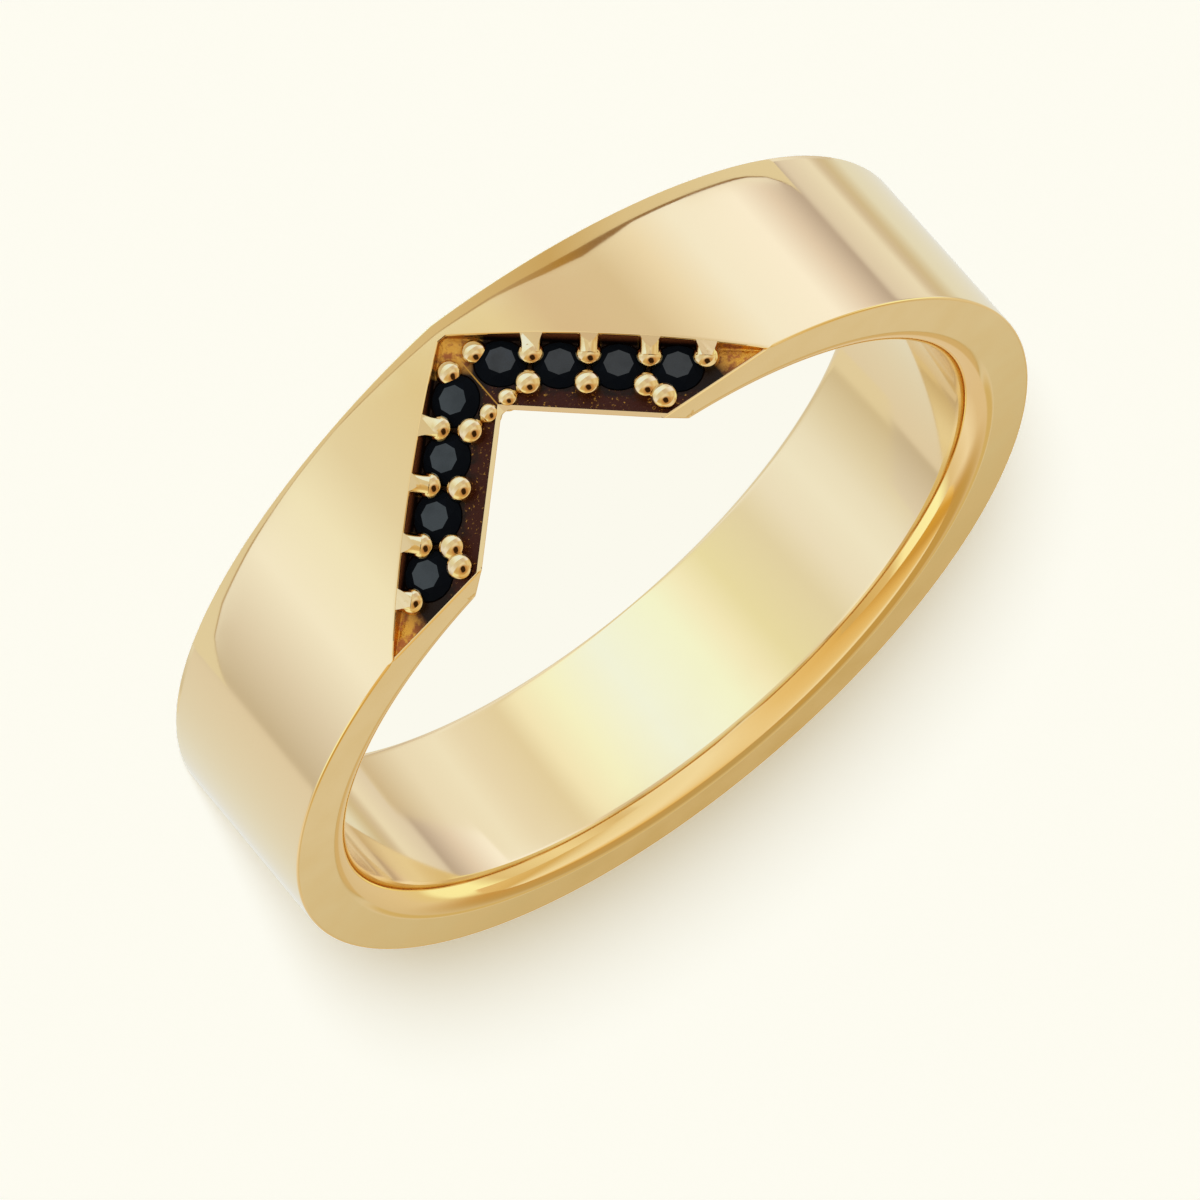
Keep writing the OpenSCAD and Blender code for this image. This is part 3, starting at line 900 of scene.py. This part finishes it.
def glow_material(name, tones, middle=(0.0, 0.0)):
    """Lit card whose tone goes round a middle point, given in millimetres."""
    card, add = new_material(name)
    place = add("TexCoord")
    seen = add("VectorMath", {
        0: place.outputs["Object"], 1: (middle[0] * MM, middle[1] * MM, 0)}, operation="SUBTRACT")
    part = azimuth(add, seen)
    tone = add("ValToRGB", {"Fac": part}, stops=around(tones))
    glow = add("Emission", {"Color": tone, "Strength": STUDIO_GLOW})
    add("OutputMaterial", {"Surface": glow})
    return card


def azimuth(add, way):
    """Turn of a direction from the front towards +X, as a share from -180 to 180 degrees."""
    xyz = add("SeparateXYZ", {0: way})
    front = add("Math", {0: xyz.outputs["Y"], 1: -1.0}, operation="MULTIPLY")
    turn = add("Math", {0: xyz.outputs["X"], 1: front}, operation="ARCTAN2")
    return add("MapRange", {"Value": turn, "From Min": -math.pi, "From Max": math.pi})


def mirrored(s, turns, heights):
    """Where sight lines from the camera meet the ground, once the outer face has mirrored them."""
    out = np.stack([np.sin(turns), -np.cos(turns), 0 * turns], -1)
    face = out * s.outer_r + np.array([0, 0, 1]) * heights[:, None]
    ray = face - np.array(CAMERA_SPOT) * MM
    ray -= 2 * (ray * out).sum(1)[:, None] * out
    return face - ray * ((face[:, 2] + GROUND_DROP) / ray[:, 2])[:, None]


def strip(name, first, last, tones):
    """Lit strip between two rows of points."""
    rows = np.stack([first, last], 1)
    return new_object(name, rows, grid_faces(len(rows), 2, False)[:-1], 0, [glow_material(name, tones)])


class RING_OT_stage(bpy.types.Operator):
    """Set the pale floor, the studio light and the camera"""

    bl_idname = "ring.stage"
    bl_label = "Studio"

    def execute(self, context):
        scene = context.scene
        look = scene.ring_look
        scene.view_settings.view_transform = "Standard"
        scene.cycles.max_bounces = 16
        scene.cycles.glossy_bounces = 16
        data = bpy.data.cameras.new("camera")
        data.lens = CAMERA_LENS
        data.sensor_width = 36.0
        data.clip_start, data.clip_end = 0.01, 10.0
        camera = bpy.data.objects.new("camera", data)
        scene.collection.objects.link(camera)
        camera.matrix_world = camera_matrix(
            Vector(CAMERA_SPOT) * MM, Vector(CAMERA_TARGET) * MM, math.radians(CAMERA_ROLL))
        scene.camera = camera

        table, add = new_material("studio_table")
        # Inside the ring the floor glows at its full pale tone and takes no window light: painted light in
        # place of the ring's shadow there. Outside it the window's light adds to the glow of the shade
        # tone.
        place = add("TexCoord")
        reach = add("VectorMath", {0: place.outputs["Object"]}, operation="LENGTH")
        hole_painted_light = add("MapRange", {
            "Value": reach.outputs["Value"], "From Min": 9.2 * MM, "From Max": 9.8 * MM,
            "To Min": 1.0, "To Max": 0.0})
        glow = add("Mix", {
            "Factor": hole_painted_light, 6: (*look.shade, 1), 7: (*look.table, 1)}, data_type="RGBA")
        shine = add("Emission", {"Color": glow.outputs[2], "Strength": 1.0})
        sheet = add("Mix", {
            "Factor": hole_painted_light, 6: (0.675, 0.798, 0.923, 1), 7: (0, 0, 0, 1)}, data_type="RGBA")
        paper = add("BsdfDiffuse", {"Color": sheet.outputs[2]})
        both = add("AddShader", {0: shine, 1: paper})
        add("OutputMaterial", {"Surface": both})
        size = 1.5
        corners = np.array([[-size, -size, 0], [size, -size, 0], [size, size, 0], [-size, size, 0]])
        floor = new_object("floor", corners, np.array([[0, 1, 2, 3]]), 0, [table])
        floor.visible_glossy = False

        data = bpy.data.lights.new("window", "SUN")
        data.energy = 6.0
        data.angle = math.radians(11)
        window = bpy.data.objects.new("window", data)
        scene.collection.objects.link(window)
        window.rotation_euler = (math.radians(73), 0, math.radians(-1))
        window.visible_glossy = False

        s = sizes()
        turns = np.linspace(-CARD_REACH[-1][0], CARD_REACH[-1][0], 253)
        reach = np.interp(np.abs(turns), *zip(*CARD_REACH))[:, None]
        turns = np.radians(turns)
        way = np.stack([np.sin(turns), -np.cos(turns), 0 * turns], -1)
        below = np.array([0, 0, -CARD_DEPTH])
        reflector = strip(
            "reflector", (way * CARD_START + below) * MM, (way * reach + below) * MM, CARD_TONES)
        border = np.array(GROUND_BORDER)
        turns = np.linspace(border[0, 0], border[-1, 0], 217)
        height, line = (np.interp(turns, border[:, 0], column) * MM for column in border[:, 1:].T)
        turns = np.radians(turns)
        edge = mirrored(s, turns, height)
        ground = strip("ground", mirrored(s, turns, 0 * height), edge, GROUND_TONES)
        shadow_line = strip("shadow_line", edge, mirrored(s, turns, height + line), SHADOW_TONES)
        edges = [(HOOD_BACK, HOOD_TOP), (HOOD_FRONT, HOOD_TOP), (HOOD_FRONT, HOOD_LOW)]
        corners = np.array([[side * HOOD_HALF, y, z] for y, z in edges for side in (-1, 1)]) * MM
        sheets = np.array([[0, 1, 3, 2], [2, 3, 5, 4]])
        glow = glow_material("hood_card", HOOD_TONES, HOOD_MIDDLE)
        hood = new_object("hood", corners, sheets, 0, [glow])
        for hanging in (reflector, ground, shadow_line, hood):
            hanging.visible_camera = False
            hanging.visible_diffuse = False
            hanging.visible_shadow = False
            hanging.visible_transmission = False

        world = bpy.data.worlds.new("studio")
        scene.world = world
        world.use_nodes = True
        world.cycles_visibility.diffuse = False
        world.node_tree.nodes.clear()
        add = partial(add_node, world.node_tree)
        place = add("TexCoord")
        way = place.outputs["Generated"]
        xyz = add("SeparateXYZ", {0: way})
        part = azimuth(add, way)
        walls = add("ValToRGB", {"Fac": part}, stops=around(WALL_TONES))
        low_sky = add("ValToRGB", {"Fac": part}, stops=around(LOW_SKY_TONES))
        high_sky = add("ValToRGB", {"Fac": part}, stops=around(HIGH_SKY_TONES))
        rise = add("Math", {0: xyz.outputs["Z"]}, operation="ARCSINE")
        lift = add("Math", {0: rise}, operation="DEGREES")
        height = add("MapRange", {"Value": lift, "From Min": 19.0, "From Max": 25.0})
        back = add("ValToRGB", {"Fac": height}, stops=within(BACK_TONES, 19, 25))
        whole = walls
        overhead = (*linear("#B08C56"), 1)
        # Each layer starts and is full at an elevation in degrees.
        layers = [(-3.0, 3.0, low_sky), (27.0, 44.0, high_sky), (62.0, 80.0, overhead)]
        for start, end, tone in layers:
            above = add("MapRange", {"Value": lift, "From Min": start, "From Max": end}, **SMOOTH)
            layer = add("Mix", {"Factor": above, 6: whole, 7: tone}, data_type="RGBA")
            whole = layer.outputs[2]
        # Spots: turn, elevation, outer and inner radius, all in degrees, and the tone.
        spots = [(180, 22, 13, 9, back), (4, 49, 43, 27, (*linear("#AD8454"), 1)),
                 (2, 37, 23, 15, (*linear(DARK_CORNER), 1)), (9, 51, 22, 13, (*linear(DARK_CORNER), 1))]
        for turn, up, outside, inside, tone in spots:
            turn, up = math.radians(turn), math.radians(up)
            aim = (math.sin(turn) * math.cos(up), -math.cos(turn) * math.cos(up), math.sin(up))
            near = add("VectorMath", {0: way, 1: aim}, operation="DOT_PRODUCT")
            share_of_spot = add("MapRange", {
                "Value": near.outputs["Value"], "From Min": math.cos(math.radians(outside)),
                "From Max": math.cos(math.radians(inside))}, **SMOOTH)
            layer = add("Mix", {"Factor": share_of_spot, 6: whole, 7: tone}, data_type="RGBA")
            whole = layer.outputs[2]
        sky_light = add("Background", {"Color": whole, "Strength": STUDIO_GLOW})
        add("OutputWorld", {"Surface": sky_light})
        return {"FINISHED"}


class RING_PT_panel(bpy.types.Panel):
    """Sizes, colours and steps of the ring"""

    bl_label = "Chevron ring"
    bl_space_type = "VIEW_3D"
    bl_region_type = "UI"
    bl_category = "Ring"

    def draw(self, context):
        for step in STEPS:
            self.layout.operator(step)
        for name in GROUPS:
            group = getattr(context.scene, name)
            box = self.layout.box()
            for key in group.__annotations__:
                box.prop(group, key)


GROUPS = {
    "ring_band": RING_PG_band,
    "ring_chevron": RING_PG_chevron,
    "ring_stones": RING_PG_stones,
    "ring_look": RING_PG_look,
}
STEPS = ["ring.stage", "ring.band", "ring.stones"]
CLASSES = [*GROUPS.values(), RING_OT_band, RING_OT_stones, RING_OT_stage, RING_PT_panel]


def register():
    """Adds the classes and the scene's settings."""
    for made in CLASSES:
        bpy.utils.register_class(made)
    for name, group in GROUPS.items():
        setattr(bpy.types.Scene, name, PointerProperty(type=group))


def unregister():
    """Takes the settings and the classes away again."""
    for name in GROUPS:
        delattr(bpy.types.Scene, name)
    for made in reversed(CLASSES):
        bpy.utils.unregister_class(made)


def main():
    """Builds the ring and its studio."""
    register()
    bpy.ops.ring.stage()
    bpy.ops.ring.band()
    bpy.ops.ring.stones()


if __name__ == "__main__":
    main()
